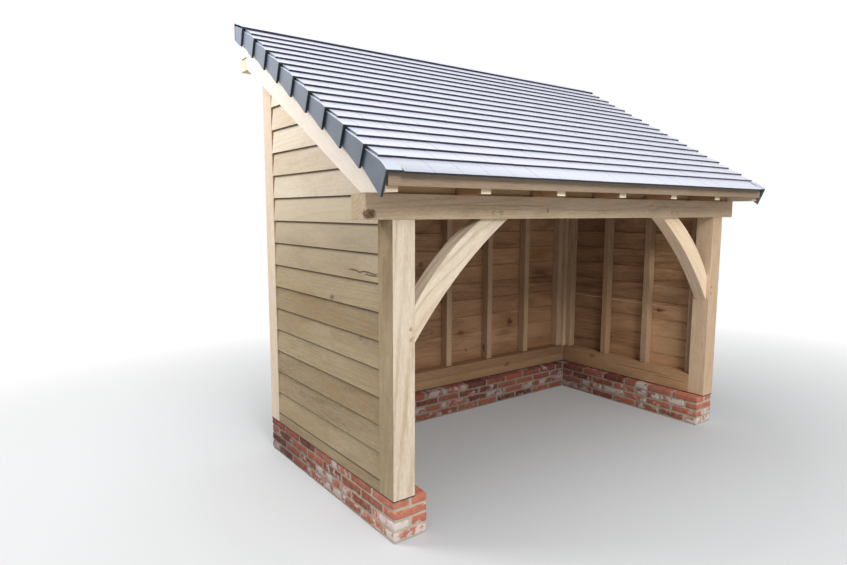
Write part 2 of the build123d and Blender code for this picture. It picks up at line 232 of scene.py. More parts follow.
class Graph:
    """Short ways to add and join shader nodes."""

    def __init__(self, nt):
        self.nt = nt

    def node(self, kind, **values):
        n = self.nt.nodes.new(kind)
        for key, value in values.items():
            setattr(n, key, value)
        return n

    def put(self, socket, value):
        if isinstance(value, bpy.types.NodeSocket):
            self.nt.links.new(value, socket)
        else:
            socket.default_value = value

    def math(self, op, a, b=None, clamp=False):
        n = self.node("ShaderNodeMath", operation=op, use_clamp=clamp)
        self.put(n.inputs[0], a)
        if b is not None:
            self.put(n.inputs[1], b)
        return n.outputs[0]

    def add(self, a, b, clamp=False):
        return self.math("ADD", a, b, clamp)

    def sub(self, a, b):
        return self.math("SUBTRACT", a, b)

    def mul(self, a, b):
        return self.math("MULTIPLY", a, b)

    def vmath(self, op, a, b=None):
        n = self.node("ShaderNodeVectorMath", operation=op)
        self.put(n.inputs[0], a)
        if b is not None:
            self.put(n.inputs[1], b)
        return n.outputs["Value"] if op == "LENGTH" else n.outputs[0]

    def noise(self, vector, scale, detail, rough=0.5, distort=0.0, out="Fac"):
        n = self.node("ShaderNodeTexNoise")
        self.put(n.inputs["Vector"], vector)
        n.inputs["Scale"].default_value = scale
        n.inputs["Detail"].default_value = detail
        n.inputs["Roughness"].default_value = rough
        n.inputs["Distortion"].default_value = distort
        return n.outputs[out]

    def mix(self, fac, a, b):
        n = self.node("ShaderNodeMix", data_type="RGBA")
        self.put(n.inputs[0], fac)
        self.put(n.inputs[6], a if isinstance(a, bpy.types.NodeSocket) else (*a, 1))
        self.put(n.inputs[7], b if isinstance(b, bpy.types.NodeSocket) else (*b, 1))
        return n.outputs[2]

    def range(self, value, a, b, c, d):
        n = self.node("ShaderNodeMapRange")
        self.put(n.inputs[0], value)
        for i, v in enumerate((a, b, c, d)):
            n.inputs[i + 1].default_value = v
        return n.outputs[0]

    def ramp(self, value, *stops):
        n = self.node("ShaderNodeValToRGB")
        els = n.color_ramp.elements
        while len(els) < len(stops):
            els.new(0.5)
        for el, (pos, col) in zip(els, stops):
            el.position = pos
            el.color = (*col, 1)
        self.put(n.inputs[0], value)
        return n.outputs[0]

    def attr(self, name):
        return self.node("ShaderNodeAttribute", attribute_name=name)

    def split(self, vector):
        n = self.node("ShaderNodeSeparateXYZ")
        self.put(n.inputs[0], vector)
        return n.outputs

    def bump(self, bsdf, height, strength, distance):
        n = self.node("ShaderNodeBump")
        n.inputs["Strength"].default_value = strength
        n.inputs["Distance"].default_value = distance
        self.put(n.inputs["Height"], height)
        self.put(bsdf.inputs["Normal"], n.outputs[0])

    def stretched(self, vector, factors, *rest, out="Fac"):
        """Noise drawn out along the axes that have a small factor."""
        return self.noise(self.vmath("MULTIPLY", vector, factors), 1.0, *rest, out=out)

    def around(self, value, size):
        """How far a value is from one half, times size."""
        return self.mul(self.sub(value, 0.5), size)

    def position(self):
        return self.node("ShaderNodeNewGeometry").outputs["Position"]

    def normal(self):
        return self.split(self.node("ShaderNodeNewGeometry").outputs["True Normal"])


KNOT = ((0.0, 0.95), (0.22, 0.70), (0.42, 0.34), (0.58, 0.72), (0.74, 0.22), (1.1, 0.0))


def wood(name, light, dark, figure=0.2, streaks=1.0, stain=0.3, spread=0.25, knots=0.1, ring=120.0,
         spots=(), cracks_and_light_lines=(), stain_and_shade=None, painted_lap_shadow=False, stains=(), painted_shades=()):
    """Sawn oak: soft growth figure round the heart, long streaks, fine fibres, clouds and a few knots.

    spots are single knots (point, radii, strength). cracks are splits (axis, from, to, height, wobble,
    width, side, and a colour where it isn't dark); with a pale colour they paint a line of light through a
    gap. weather is a patch of the left faces that darkens towards the top, partly a real stain and partly
    painted shade (from, to, colour). stains are soft patches (point, radii, colour, strength). shades are
    painted shade or painted light that grows along an axis (axis, from, to, amount, colour). laps paints
    the shadow under the lip of each board. Places are in the building's own frame, and colours are sRGB
    out of 255."""
    mat, g, bsdf = material(name)
    light, dark = srgb(*light), srgb(*dark)
    deep = (dark[0] * 0.34, dark[1] * 0.28, dark[2] * 0.22)
    grain = g.attr("grain").outputs["Vector"]
    tone = g.attr("tone").outputs["Fac"]
    place = g.vmath("SUBTRACT", g.position(), (0.0, FRONT, 0.0))
    parts = g.split(place)
    swing = g.vmath("SUBTRACT", g.stretched(grain, (0.8, 4.0, 4.0), 2.0, out="Color"), (0.5, 0.5, 0.5))
    moved = g.vmath("ADD", grain, g.vmath("MULTIPLY", swing, (0.0, 0.045, 0.045)))

    # knots by chance: a share of the cells has one, and the growth rings bend round it
    cell = g.node("ShaderNodeTexVoronoi", feature="F1")
    g.put(cell.inputs["Vector"], g.vmath("MULTIPLY", grain, (1.9, 6.0, 6.0)))
    cell.inputs["Scale"].default_value = 1.0
    pick = g.node("ShaderNodeSeparateColor")
    g.put(pick.inputs[0], cell.outputs["Color"])
    chosen = g.math("GREATER_THAN", pick.outputs[0], 1.0 - knots)
    near = cell.outputs["Distance"]
    pull = g.mul(g.math("POWER", g.range(near, 0.0, 0.5, 1.0, 0.0), 2.0), chosen)

    across = g.vmath("MULTIPLY", moved, (0.02, 1.0, 1.0))
    radius = g.add(g.vmath("LENGTH", across), g.mul(pull, 0.035))
    wave = g.math("SINE", g.mul(radius, ring * 2 * math.pi))
    wave = g.math("POWER", g.add(g.mul(wave, 0.5), 0.5), 3.0)
    clear = g.range(g.stretched(grain, (0.9, 7.0, 7.0), 2.0), 0.38, 0.68, 0.15, 1.0)
    clear = g.add(clear, pull, clamp=True)
    amount = g.mul(g.mul(wave, clear), figure)
    streak = g.stretched(moved, (8.0, 75.0, 75.0), 4.0, 0.62)
    fleck = g.stretched(moved, (24.0, 120.0, 120.0), 3.0, 0.6)
    fine = g.stretched(moved, (36.0, 320.0, 320.0), 3.0, 0.6)
    cloud = g.stretched(grain, (1.5, 6.5, 6.5), 4.0, 0.6, 0.5)
    for value, size in ((streak, 0.70 * streaks), (fleck, 0.55 * streaks), (fine, 0.70 * streaks),
                        (cloud, stain * 2.4), (tone, spread * 2.0)):
        amount = g.add(amount, g.around(value, size))
    amount = g.add(amount, 0.32, clamp=True)

    base = g.mix(amount, light, dark)
    warm = g.stretched(grain, (0.7, 3.0, 3.0), 2.0)
    tan = [0.5 * a + 0.5 * b for a, b in zip(light, dark)]
    base = g.mix(g.range(warm, 0.48, 0.75, 0.0, 0.5), base, (tan[0] * 1.06, tan[1] * 0.96, tan[2] * 0.80))
    core = g.mul(g.range(near, 0.03, 0.13, 0.85, 0.0), chosen)
    base = g.mix(core, base, deep)

    def ragged(point, radii, edge, size):
        """Distance from a point as a share of the radii, made uneven by a noise value."""
        away = g.vmath("MULTIPLY", g.vmath("SUBTRACT", place, point), tuple(1.0 / r for r in radii))
        return g.add(g.vmath("LENGTH", away), g.around(edge, size))

    for point, radii, colour, strength in stains:
        inside = g.range(ragged(point, radii, cloud, 2.2), 0.3, 1.25, strength, 0.0)
        inside = g.mul(inside, g.range(streak, 0.3, 0.6, 0.6, 1.0))
        base = g.mix(inside, base, srgb(*colour))
    # painted shade or painted light: the colour changes along an axis
    for axis, start, end, share, colour in painted_shades:
        base = g.mix(g.range(parts["xyz".index(axis)], start, end, 0.0, share), base, srgb(*colour))
    rough_edge = g.noise(place, 42.0, 3.0, 0.6)
    for point, radii, strength in spots:
        rings = g.ramp(ragged(point, radii, rough_edge, 1.5), *((at, (value,) * 3) for at, value in KNOT))
        base = g.mix(g.mul(rings, strength), base, deep)
    # splits, drawn dark; with a pale colour the line is painted light through a gap between boards
    for axis, start, end, height, wobble, width, side, *tint in cracks_and_light_lines:
        along = parts["xyz".index(axis)]
        line = g.node("ShaderNodeCombineXYZ")
        g.put(line.inputs[0], g.mul(along, 9.0))
        line.inputs[1].default_value = height * 31.0
        drift = g.around(g.noise(line.outputs[0], 1.0, 4.0, 0.65), wobble)
        gap = g.math("ABSOLUTE", g.sub(g.sub(parts[2], height), drift))
        middle, half = (start + end) / 2, abs(end - start) / 2
        ends = g.math("ABSOLUTE", g.sub(along, middle))
        ends = g.range(ends, half * 0.7, half, 1.0, 0.0)
        split = g.mul(g.range(gap, width * 0.3, width, 0.9, 0.0), ends)
        if side:
            there = g.math("GREATER_THAN", g.mul(parts[0], side), 0.0)
            split = g.mul(split, there)
        base = g.mix(split, base, srgb(*tint[0]) if tint else deep)
    # patch on the left faces, darker towards the top: partly a real stain, partly painted shade
    if stain_and_shade:
        low, high, colour = stain_and_shade
        height = g.math("POWER", g.range(parts[2], low, high, 0.0, 1.0), 1.6)
        leftward = g.math("LESS_THAN", g.normal()[0], -0.5)
        patch = g.range(g.stretched(place, (1.0, 16.0, 5.0), 4.0, 0.6), 0.36, 0.62, 0.10, 0.90)
        patch = g.mul(g.mul(height, leftward), patch)
        base = g.mix(patch, base, srgb(*colour))
    # painted shadow under the lip of each board, row by row, and on the sill just under the lowest board
    if painted_lap_shadow:
        row = g.math("FRACT", g.math("DIVIDE", g.sub(parts[2], SILL_TOP), BOARD))
        darkening = g.math("POWER", g.range(row, 0.885, 0.975, 0.0, 1.0), 1.6)
        base = g.mix(g.mul(darkening, 0.88), base, deep)
    surface(g, bsdf, base, g.range(fine, 0.3, 0.7, 0.56, 0.72), 0.3)
    relief = g.add(g.mul(fine, 0.7), g.mul(streak, 0.5))
    g.bump(bsdf, relief, 0.22, 0.0015)
    return mat


def painted_back_shade(g, most):
    """Share of painted shade that grows from nothing at the front to most at the back, except on faces that
    look back.
    """
    rear = g.math("GREATER_THAN", g.normal()[1], 0.5)
    depth = g.range(g.split(g.position())[1], FRONT + 0.05, FRONT + 1.2, 0.0, most)
    return g.mul(depth, g.sub(1.0, rear))


def brick_material():
    mat, g, bsdf = material("brick_clay")
    grain = g.attr("grain").outputs["Vector"]
    tone = g.attr("tone").outputs["Fac"]
    place = g.position()
    fire = g.ramp(tone, (0.0, srgb(112, 58, 46)), (0.25, srgb(150, 80, 60)), (0.5, srgb(188, 112, 88)),
                  (0.75, srgb(190, 108, 82)), (1.0, srgb(140, 78, 60)))
    speck = g.noise(grain, 75.0, 5.0, 0.7)
    body = g.mix(g.range(speck, 0.4, 0.75, 0.0, 0.45), fire, srgb(110, 66, 54))
    blotch = g.noise(grain, 15.0, 4.0, 0.65)
    body = g.mix(g.range(blotch, 0.5, 0.8, 0.0, 0.5), body, srgb(190, 138, 114))
    dust = g.noise(grain, 32.0, 5.0, 0.7)
    body = g.mix(g.range(dust, 0.45, 0.75, 0.0, 0.34), body, srgb(198, 172, 156))

    # lime: more of it low down and at the front ends, and each brick has a share of its own
    parts = g.split(place)
    low = g.range(parts[2], 0.0, 0.20, 0.115, -0.065)
    low = g.add(low, g.range(parts[1], FRONT + 0.02, FRONT + 0.30, 0.085, 0.0))
    own = g.around(g.math("FRACT", g.mul(tone, 7.31)), 0.26)
    patch = g.noise(grain, 10.0, 5.0, 0.6, 0.3)
    fleck = g.around(g.noise(place, 95.0, 4.0, 0.7), 0.28)
    lime = g.add(g.add(patch, low), g.add(own, fleck))
    body = g.mix(g.range(lime, 0.560, 0.640, 0.0, 0.92), body, srgb(216, 204, 198))
    # painted shade: the bricks darken towards the back
    body = g.mix(painted_back_shade(g, 0.92), body, g.vmath("MULTIPLY", body, (0.45, 0.40, 0.40)))
    surface(g, bsdf, body, 0.88, 0.25)
    g.bump(bsdf, g.add(speck, g.mul(blotch, 0.6)), 0.5, 0.003)
    return mat


def mortar_material():
    mat, g, bsdf = material("lime_mortar")
    place = g.position()
    sand = g.noise(place, 230.0, 4.0, 0.7)
    darkening = g.noise(place, 5.0, 3.0, 0.6)
    body = g.mix(g.range(darkening, 0.35, 0.7, 0.0, 1.0), srgb(192, 180, 162), srgb(160, 148, 130))
    body = g.mix(g.range(sand, 0.4, 0.7, 0.0, 0.5), body, srgb(198, 190, 170))
    # painted shade: the mortar darkens towards the back
    body = g.mix(painted_back_shade(g, 0.68), body, srgb(78, 72, 64))
    surface(g, bsdf, body, 0.95)
    g.bump(bsdf, sand, 0.6, 0.003)
    return mat


def tile_material(name, dark, mid, light, sheen_range=None, pale=(187, 191, 205)):
    """Smooth grey tile. With skin, its upward faces have a painted sheen: a pale reflection painted into the
    colour where they are seen at a low angle. Hanging faces are slate grey, with painted light that grows
    higher up.

    skin is the range of the Layer Weight node's Facing over which the painted sheen comes in."""
    mat, g, bsdf = material(name)
    dark, mid, light = srgb(*dark), srgb(*mid), srgb(*light)
    grain = g.attr("grain").outputs["Vector"]
    tone = g.attr("tone").outputs["Fac"]
    base = g.ramp(tone, (0.0, dark), (0.5, mid), (1.0, light))
    cloud = g.noise(grain, 8.0, 4.0, 0.6)
    base = g.mix(g.range(cloud, 0.4, 0.75, 0.0, 0.3), base, tuple(c * 1.35 for c in light))
    grit = g.noise(grain, 420.0, 3.0, 0.6)
    base = g.mix(g.range(grit, 0.55, 0.8, 0.0, 0.25), base, tuple(c * 0.6 for c in dark))
    if sheen_range:
        # painted sheen: pale painted into upward faces seen at a low angle
        low_angle = g.node("ShaderNodeLayerWeight")
        low_angle.inputs["Blend"].default_value = 0.5
        skyward = g.normal()[2]
        painted_sheen = g.range(low_angle.outputs["Facing"], sheen_range[0], sheen_range[1], 0.0, 1.0)
        painted_sheen = g.mul(painted_sheen, g.range(skyward, 0.35, 0.7, 0.0, 1.0))
        hanging = g.range(skyward, 0.35, 0.7, 1.0, 0.0)
        slate = g.mix(g.range(cloud, 0.35, 0.65, 0.0, 1.0), srgb(76, 86, 100), srgb(92, 102, 116))
        # painted light: the hanging faces grow lighter higher up
        height = g.split(g.position())[2]
        slate = g.mix(g.range(height, 2.0, 2.8, 0.0, 0.42), slate, srgb(126, 138, 158))
        base = g.mix(hanging, base, slate)
        base = g.mix(painted_sheen, base, srgb(*pale))
        bsdf.inputs["Coat Weight"].default_value = 0.4
    surface(g, bsdf, base, g.range(cloud, 0.3, 0.7, 0.34, 0.42))
    bsdf.inputs["Coat Roughness"].default_value = 0.30
    g.bump(bsdf, grit, 0.10, 0.001)
    return mat


def marks(axis, at, thick, *rows):
    """Spots or stains of a wall: a row has the place along it, the height, the two radii and the rest."""
    if axis == "x":
        return [((along, at, z), (wide, thick, high), *rest) for along, z, wide, high, *rest in rows]
    return [((at, along, z), (thick, wide, high), *rest) for along, z, wide, high, *rest in rows]


# Ends of the oak pegs that show on the front: x, z.
PEGS = ((-1.4133, 1.087), (-1.4140, 1.036), (-0.876, 1.652), (-0.817, 1.651), (0.826, 1.656), (0.888, 1.656),
        (1.4190, 1.087), (1.4175, 1.040))
POST_PEGS = marks("x", 0.0, 0.03, *((x, z, 0.0145, 0.014, 0.7) for x, z in PEGS if z < 1.5))
BEAM_PEGS = marks("x", 0.0, 0.03, *((x, z, 0.017, 0.016, 0.8) for x, z in PEGS if z > 1.5))

# posts and braces
POSTS = wood("oak_post", (231, 219, 202), (184, 162, 134), figure=0.42, stain=0.22, ring=80.0,
             spots=POST_PEGS)
# The left post's left face is a darker copy of the post oak: painted shade. Its patch that darkens towards
# the top is partly a real stain and partly painted shade.
SHADED_POST_SIDE = wood("oak_post_side", (182, 163, 133), (134, 112, 82), stain=0.40, knots=0.12,
                 stain_and_shade=(0.70, 1.60, (112, 88, 52)))
POST_OUTSIDE = wood("oak_post_outside", (226, 210, 190), (184, 162, 136), stain=0.25)
BACK_POSTS = wood("oak_back_post", (204, 180, 152), (154, 126, 98), stain=0.35)
RIGHT_POST = wood("oak_right_post", (218, 190, 160), (168, 136, 104), spots=POST_PEGS)
# The right post's inner face is a lighter copy of its oak: painted light.
RIGHT_INSIDE_LIT = wood("oak_right_post_inside", (232, 206, 176), (186, 154, 122))
PEG = wood("oak_peg", (206, 174, 144), (156, 124, 96), figure=0.0, knots=0.0)
BRACES = wood("oak_brace", (230, 218, 200), (172, 148, 120), figure=0.55, knots=0.0, ring=70.0)
# The right brace is a lighter copy of the brace oak: painted light against the beam's shadow on it.
RIGHT_BRACE_LIT = wood("oak_right_brace", (246, 224, 194), (202, 168, 132), figure=0.50, knots=0.0, ring=70.0)

# beam, sills and studs
BEAM = wood("oak_beam", (206, 184, 156), (156, 130, 102), figure=0.25, stain=0.28, knots=0.05,
            spots=[((-1.6425, 0.0, 1.6465), (0.044, 0.05, 0.028), 1.7),
                   ((-0.454, 0.0, 1.663), (0.012, 0.02, 0.016), 1.0)] + BEAM_PEGS,
            cracks_and_light_lines=(("x", -1.25, -0.30, 1.690, 0.018, 0.0014, 0),
                    ("x", -1.10, -0.62, 1.672, 0.012, 0.0012, 0),
                    ("x", -0.45, 0.35, 1.668, 0.020, 0.0014, 0),
                    ("x", 0.45, 1.30, 1.694, 0.016, 0.0013, 0)))
# Sills: painted shade, darker towards the back and towards the right.
SILLS = wood("oak_sill", (216, 176, 134), (160, 120, 82), figure=0.22, stain=0.5, knots=0.05,
             painted_shades=(("y", 0.35, 1.40, 0.48, (58, 38, 24)), ("x", -1.2, 1.3, 0.16, (58, 38, 24))),
             spots=(((1.39, 1.067, 0.336), (0.034, 0.036, 0.022), 0.9),
                    ((0.632, 1.418, 0.291), (0.036, 0.03, 0.014), 1.2)),
             cracks_and_light_lines=(("y", 0.25, 0.85, 0.318, 0.022, 0.0036, 1), ("y", 0.14, 0.45, 0.300, 0.012, 0.0030, 1)))
# The back rail: painted shade, darker towards the right.
RAIL = wood("oak_rail", (164, 130, 98), (118, 86, 60), figure=0.25, stain=0.35, knots=0.05,
            painted_shades=(("x", -1.2, 1.3, 0.35, (64, 40, 24)),),
            spots=(((0.655, 1.420, 0.304), (0.030, 0.03, 0.012), 1.2),))
# Studs: painted shade, darker towards the bottom.
STUDS = wood("oak_stud", (198, 168, 136), (144, 114, 88), figure=0.25, stain=0.35,
             painted_shades=(("z", 0.95, 0.35, 0.20, (74, 50, 34)),),
             stains=(((0.428, 1.495, 0.466), (0.02, 0.022, 0.040), (34, 20, 14), 1.0),))

# boards, outside and inside
# Outer boards: painted shadow under each lip, and painted light that grows towards the top, so the lower
# boards stay darker. The sills' outer faces take this oak too.
CLAD = wood("oak_boards", (166, 148, 118), (110, 90, 62), figure=0.22, spread=0.24, stain=0.42, knots=0.2,
            ring=80.0, painted_lap_shadow=True, painted_shades=(("z", 1.20, 1.85, 0.62, (224, 210, 186)),),
            cracks_and_light_lines=(("y", 0.12, 0.45, 1.351, 0.036, 0.0060, -1), ("y", 0.13, 0.27, 1.338, 0.030, 0.0050, -1)),
            spots=marks("y", -1.52, 0.03, (0.62, 1.18, 0.035, 0.018, 0.9), (0.33, 1.00, 0.030, 0.016, 0.7)))
# Gable boards: a paler copy of the outer boards' oak, painted light, with painted shade that darkens it
# towards its bottom to meet the wall boards.
GABLE_LIT = wood("oak_gable_boards", (228, 216, 198), (182, 162, 138), figure=0.22, spread=0.20, stain=0.35,
             knots=0.12, ring=80.0, painted_lap_shadow=True, painted_shades=(("z", 2.20, 1.70, 0.35, (176, 156, 128)),))
AMBER, DUSKY, STRAW = (152, 106, 62), (84, 54, 36), (206, 172, 132)
BACK_STAINS = marks(
    "x", 1.52, 0.1, (0.77, 0.64, 0.13, 0.075, AMBER, 0.80), (0.20, 0.61, 0.11, 0.050, AMBER, 0.70),
    (0.61, 1.36, 0.13, 0.050, AMBER, 0.55), (1.13, 1.26, 0.14, 0.060, AMBER, 0.80),
    (1.16, 1.09, 0.17, 0.060, DUSKY, 0.75), (-0.25, 1.16, 0.13, 0.050, DUSKY, 0.60),
    (0.70, 0.56, 0.10, 0.030, DUSKY, 0.55))
BACK_KNOTS = marks(
    "x", 1.522, 0.05, (0.775, 0.650, 0.040, 0.050, 1.3), (0.190, 0.618, 0.045, 0.022, 1.0),
    (-0.241, 1.230, 0.035, 0.026, 1.1), (0.246, 0.462, 0.020, 0.016, 1.0))
# Inner boards of the back wall: painted shade, darker towards the bottom.
LINING = wood("oak_boards_inside", (200, 157, 118), (118, 82, 58), figure=0.24, spread=0.22, stain=0.80,
              streaks=0.8, knots=0.12, ring=80.0, painted_shades=(("z", 1.05, 0.35, 0.40, DUSKY),),
              stains=BACK_STAINS, spots=BACK_KNOTS)
SIDE_STAINS = marks(
    "y", 1.50, 0.1, (0.38, 0.98, 0.24, 0.09, STRAW, 0.55), (0.40, 0.58, 0.20, 0.16, STRAW, 0.45),
    (0.85, 0.56, 0.12, 0.07, AMBER, 0.50), (1.23, 0.97, 0.20, 0.03, DUSKY, 0.60))
SIDE_KNOTS = marks("y", 1.50, 0.06, (0.478, 0.835, 0.070, 0.022, 1.1), (0.941, 0.521, 0.016, 0.016, 1.0))
# Inner boards of the side walls: painted shade, darker towards the back, and a pale line painted along one
# joint of the right wall: light through the gap.
SIDE_LINING = wood("side_boards_inside", (212, 168, 128), (124, 88, 62), figure=0.26, spread=0.20, stain=0.75,
                   streaks=0.8, ring=80.0, painted_shades=(("y", 0.50, 1.10, 0.42, (64, 42, 28)),),
                   cracks_and_light_lines=(("y", 0.19, 1.40, 0.874, 0.010, 0.0032, 1, (236, 214, 184)),),
                   stains=SIDE_STAINS, spots=SIDE_KNOTS)

# roof timbers
# The common rafters' sides are a darker, browner copy of the oak of their pale ends: painted shade.
SHADED_RAFTER_SIDES = wood("rafter_sides", (176, 138, 98), (112, 82, 56), figure=0.25, stain=0.45, knots=0.08)
PALE = wood("oak_rafter", (234, 220, 196), (204, 182, 148), figure=0.25, stain=0.25, knots=0.06)
# The verge rafters are a paler copy of the rafter oak: painted light.
VERGE_LIT = wood("oak_verge", (238, 226, 212), (212, 194, 174), stain=0.25, knots=0.12,
             spots=(((-1.67, 0.66, 2.088), (0.05, 0.05, 0.012), 0.5),))
TAIL_END = wood("oak_rafter_end", (220, 202, 174), (188, 164, 132), figure=0.25, stain=0.25, knots=0.0)
ROOF_WOOD = wood("roof_timber", (206, 184, 154), (152, 126, 96), figure=0.25)
BLOCKS = wood("blocking_timber", (184, 150, 114), (128, 96, 66), figure=0.3, stain=0.5)
FASCIA = wood("oak_fascia", (162, 142, 120), (120, 100, 80), stain=0.35, knots=0.03)

BRICK = brick_material()
MORTAR = mortar_material()
GREY = ((42, 52, 62), (47, 57, 67), (52, 62, 72))
# Tiles carry a painted sheen on their upward faces; the lowest verge tile's top has its own, over a wider
# range of angles.
TILE = tile_material("grey_tile", *GREY, (0.46, 0.72))
EAVES_TILE = tile_material("grey_eaves_tile", *GREY, (0.16, 0.40), (166, 172, 185))
# Cut faces of the tiles: darker, partly their own colour and partly painted shade. The damp course takes the
# first of them too.
TILE_EDGE = tile_material("grey_tile_edge", (42, 33, 54), (48, 39, 60), (54, 45, 66))
DARK_EDGE = tile_material("dark_tile_edge", (25, 28, 32), (29, 32, 36), (34, 37, 41))


def facing(axis, limit):
    """Gives the second material to faces whose normal goes past the limit along axis 0, 1 or 2."""
    return lambda normal: int(normal[axis] / limit > 1.0)


# posts, and the side sills with their rebate for the boards
for side, sign in (("left", -1), ("right", 1)):
    front, back = "front_post_" + side, "back_post_" + side
    front_mats = (POSTS, SHADED_POST_SIDE) if side == "left" else (RIGHT_POST, RIGHT_INSIDE_LIT)
    seed = 45 if side == "left" else 40
    m = Mesh(front + "_timber")
    timber(m, node_box(front), "z", seed + len(front) * 13, pick=facing(0, -0.9))
    m.build(front_mats, "oak", front)
    m = Mesh(back + "_timber")
    timber(m, node_box(back), "z", seed + len(back) * 13,
           pick=lambda normal, sign=sign: int(normal.x * sign > 0.9 or normal.y > 0.9))
    m.build([BACK_POSTS, POST_OUTSIDE], "oak", back)
    outline = [(sign * x, z) for x, z in (
        (HALF, PLINTH_H), (INNER, PLINTH_H), (INNER, RAIL_TOP), (HALF - CLAD_T, RAIL_TOP),
        (HALF - CLAD_T, SILL_TOP), (HALF, SILL_TOP))]
    m = Mesh("sill_%s_timber" % side)
    prism(m, outline, "y", POST, REAR_Y, 0.003, grain_along("y", 77 + sign, (-0.20, -sign * INNER)), 0.45,
          facing(0, sign * 0.5))
    m.build([SILLS, CLAD], "oak", "sill_" + side)

# timbers that run from side to side; the back sill is weathered behind
for node, mat in (("sill_back", SILLS), ("rail_back", RAIL), ("front_beam", BEAM),
                  ("rear_beam", POST_OUTSIDE)):
    m = Mesh(node + "_timber")
    timber(m, node_box(node), "x", len(node) * 17 + 3, pick=facing(1, 0.9) if mat is SILLS else None)
    m.build([mat, CLAD] if mat is SILLS else [mat], "oak", node)

# studs
STUD_W = 0.053
m = Mesh("studs_back_timber")
lo, hi = node_box("studs_back")
for i in range(7):
    x = -INNER + i * (2 * INNER - STUD_W) / 6
    timber(m, ((x, lo[1], lo[2]), (x + STUD_W, hi[1], hi[2])), "z", 300 + i, 0.002)
m.build([STUDS], "shaded_oak", "studs_back")
for side in ("left", "right"):
    m = Mesh("studs_%s_timber" % side)
    lo, hi = node_box("studs_" + side)
    for i in range(4):
        y = POST + i * (REAR_Y - POST - STUD_W) / 3
        outline = [(y, RAIL_TOP), (y + STUD_W, RAIL_TOP), (y + STUD_W, under(y + STUD_W) - SEAT_GAP),
                   (y, under(y) - SEAT_GAP)]
        grain = grain_along("z", 410 + i + (20 if side == "left" else 0), (0.07 - lo[0], 0.08 - y))
        prism(m, outline, "x", lo[0], hi[0], 0.002, grain, random.Random(400 + i).random())
    m.build([STUDS], "shaded_oak", "studs_" + side)


def rafter(mesh, x0, front_y, seed, pick=None):
    """Rafter from front_y to the back, with a level bearing in front and a notch over the rear beam."""
    pts = [(front_y, under(front_y))]
    if front_y < BEARING:
        pts = [(front_y, BEAM_TOP), (BEARING, BEAM_TOP)]
    pts += [(REAR_Y, under(REAR_Y)), (REAR_Y, REAR_TOP), (ROOF_END, REAR_TOP),
            (ROOF_END, level(ROOF_END, RAFTER_D)), (front_y, level(front_y, RAFTER_D))]
    rnd = random.Random(seed)
    grain = grain_along("s", seed, (-0.07 + rnd.uniform(-0.09, 0.09), 0.07 - x0))
    prism(mesh, pts, "x", x0, x0 + RAFTER_W, 0.002, grain, rnd.random(), pick)


m = Mesh("common_rafters_timber")
for i in range(1, 6):
    rafter(m, -ROOF_X + i * SPACING, -TAIL, 500 + i, facing(1, -0.8))
m.build([SHADED_RAFTER_SIDES, PALE], "oak", "common_rafters")
for side, x_verge, x_wall in (("left", -ROOF_X, LEFT + CLAD_T),
                              ("right", ROOF_X - RAFTER_W, HALF - CLAD_T - RAFTER_W)):
    m = Mesh("verge_rafter_%s_timber" % side)
    rafter(m, x_verge, -TAIL, 520 + len(side), facing(1, -0.8))
    m.build([VERGE_LIT, TAIL_END], "oak", "verge_rafter_" + side)
    m = Mesh("wall_rafter_%s_timber" % side)
    rafter(m, x_wall, BLOCK_BACK, 540 + len(side))
    m.build([ROOF_WOOD], "oak", "wall_rafter_" + side)


def upright(mesh, x0, x1, y0, y1, foot, seed, grain_seed, pith):
    """Board between two rafters, from a beam up to the roof boards."""
    pts = [(y0, foot), (y1, foot), (y1, level(y1, RAFTER_D)), (y0, level(y0, RAFTER_D))]
    prism(mesh, pts, "x", x0, x1, 0.001, grain_along("x", grain_seed, pith), random.Random(seed).random())


# blocking between the rafters, front and rear, and the fascia
m = Mesh("blocking_boards")
for i in range(6):
    x0 = -ROOF_X + i * SPACING + RAFTER_W
    x1 = x0 + SPACING - RAFTER_W
    upright(m, x0, x1, BLOCK_FRONT, BLOCK_BACK, BEAM_TOP, i + 3, 560 + i, (0.1, -BEAM_TOP))
m.build([BLOCKS], "shaded_oak", "blocking")
m = Mesh("blocking_back_boards")
y1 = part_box("blocking_back")[1].y - FRONT
y0 = y1 - (BLOCK_BACK - BLOCK_FRONT)
spans = [(-ROOF_X + RAFTER_W, -HALF), (-HALF + CLAD_T + RAFTER_W, -ROOF_X + SPACING)]
spans += [(-b, -a) for a, b in spans]
spans += [(-ROOF_X + i * SPACING + RAFTER_W, -ROOF_X + (i + 1) * SPACING) for i in range(1, 5)]
for i, (x0, x1) in enumerate(spans):
    upright(m, x0, x1, y0, y1, REAR_TOP, i, 580 + i, (-y0, -REAR_TOP))
m.build([ROOF_WOOD], "shaded_oak", "blocking_back")
lo, hi = node_box("fascia")
m = Mesh("fascia_board")
pts = [(lo[1], lo[2]), (hi[1], lo[2]), (hi[1], hi[2]), (lo[1], hi[2] - (hi[1] - lo[1]) * TAN)]
prism(m, pts, "x", lo[0], hi[0], 0.002, grain_along("x", 590, (0.24, -1.8)), 0.5)
m.build([FASCIA], "oak", "fascia")

